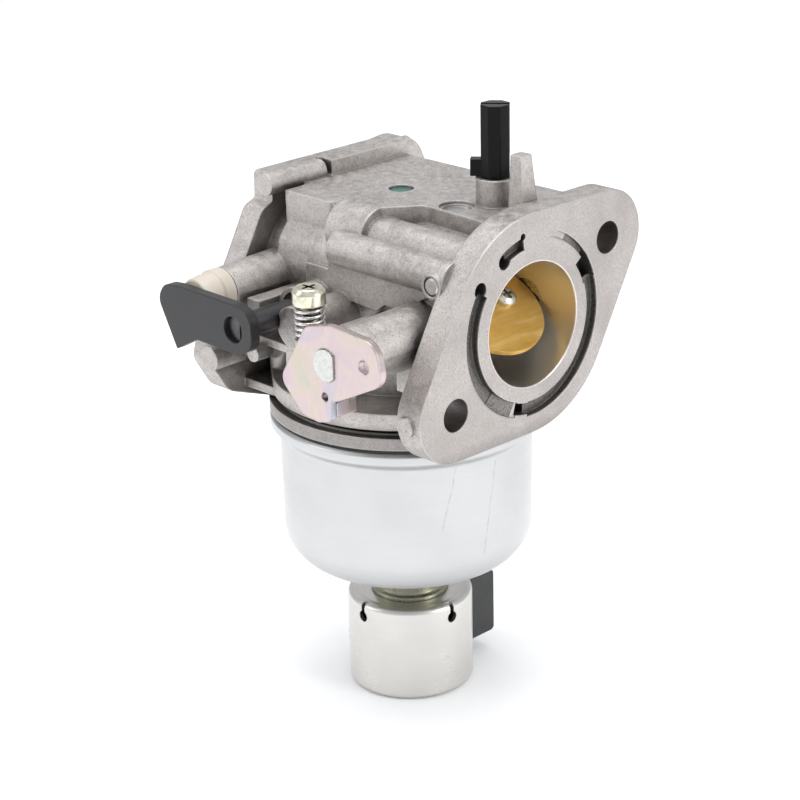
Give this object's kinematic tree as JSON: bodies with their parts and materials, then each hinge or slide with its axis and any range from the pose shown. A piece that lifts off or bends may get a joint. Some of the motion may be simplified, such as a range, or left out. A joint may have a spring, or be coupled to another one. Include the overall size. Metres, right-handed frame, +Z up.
{
  "type": "carburetor",
  "caption": "Small-engine float carburetor: die-cast throat with butterfly throttle and choke, zinc-plated fuel bowl and fuel shut-off solenoid below it.",
  "frame": {"origin": "centre of the throttle bore on the engine-flange face", "axes": "+X out of the engine flange along the throat, +Z up from the bowl to the deck, +Y completes the right-handed frame; the levers are on the -Y side"},
  "size_m": [0.0671, 0.0751, 0.1274],
  "materials": {
    "black_plastic": "moulded, satin",
    "brass": "machined",
    "cast_aluminium": "die-cast, fine grain, some machined faces",
    "copper_winding": "enamelled wire",
    "fibre_washer": "pressed fibre",
    "float_plastic": "closed-cell",
    "rubber_seal": "moulded",
    "sealant": "dried green sealant",
    "spring_steel": "drawn wire",
    "steel": "plain bright steel",
    "white_plastic": "moulded, off-white",
    "zinc_dichromate": "iridescent zinc dichromate",
    "zinc_plate": "clear blue-white zinc plate"
  },
  "bodies": {
    "carburetor_body": {"body_casting": "cast_aluminium", "deck_cup_plug": "cast_aluminium", "deck_seal_plug": "sealant", "side_swage_plug": "cast_aluminium", "throttle_seal": "rubber_seal", "fuel_inlet_fitting": "white_plastic", "inlet_seat": "brass", "main_jet": "brass", "main_nozzle": "brass", "pilot_jet": "brass", "float_pin": "steel", "fuel_bowl": "zinc_plate", "bowl_gasket": "rubber_seal", "bowl_inner_washer": "fibre_washer", "solenoid_can": "zinc_plate", "solenoid_end_plate": "steel", "solenoid_washer": "fibre_washer", "solenoid_bushing": "zinc_dichromate", "solenoid_bobbin": "black_plastic", "solenoid_coil": "copper_winding", "solenoid_connector": "black_plastic", "solenoid_terminals": "brass", "plunger_spring": "spring_steel", "idle_speed_spring": "spring_steel", "mixture_spring": "spring_steel"},
    "throttle": {"throttle_shaft": "steel", "throttle_plate": "brass", "throttle_plate_screws": "steel", "throttle_lever": "zinc_dichromate", "throttle_stop_tab": "zinc_dichromate"},
    "choke": {"choke_shaft": "steel", "choke_plate": "brass", "choke_plate_screws": "steel", "choke_lever": "black_plastic"},
    "idle_speed": {"idle_speed_screw": "zinc_plate"},
    "idle_mixture": {"mixture_needle": "steel", "limiter_cap": "black_plastic"},
    "float_assembly": {"float": "float_plastic", "float_arm": "steel"},
    "needle": {"inlet_needle": "steel", "inlet_needle_tip": "rubber_seal"},
    "solenoid_plunger": {"plunger": "steel", "plunger_tip": "rubber_seal"}
  },
  "joints": [
    {"name": "throttle_turn", "type": "hinge", "parent": "carburetor_body", "child": "throttle", "pos_m": [-0.0132, 0, 0], "axis": [0, 1, 0], "range_deg": [-33, 48]},
    {"name": "choke_turn", "type": "hinge", "parent": "carburetor_body", "child": "choke", "pos_m": [-0.0421, 0, -0.0005], "axis": [0, 1, 0], "range_deg": [-78, 0]},
    {"name": "idle_speed_turn", "type": "hinge", "parent": "carburetor_body", "child": "idle_speed", "pos_m": [-0.0226, -0.0373, 0], "axis": [0, 0, 1], "continuous": true},
    {"name": "idle_mixture_turn", "type": "hinge", "parent": "carburetor_body", "child": "idle_mixture", "pos_m": [-0.0169, 0.0076, 0], "axis": [0, 0, 1], "range_deg": [-90, 90]},
    {"name": "float_swing", "type": "hinge", "parent": "carburetor_body", "child": "float_assembly", "pos_m": [-0.057, 0, -0.028], "axis": [0, 1, 0], "range_deg": [0, 7]},
    {"name": "needle_lift", "type": "slide", "parent": "carburetor_body", "child": "needle", "axis": [0, 0, 1], "range_m": [-0.0007, 0]},
    {"name": "plunger_slide", "type": "slide", "parent": "carburetor_body", "child": "solenoid_plunger", "axis": [0, 0, 1], "range_m": [-0.0022, 0], "stiffness_N_per_m": 60, "deforming": ["plunger_spring"]}
  ],
  "couplings": [
    {"joint": "needle_lift", "follows": "float_swing", "m_per_rad": -0.0055}
  ]
}
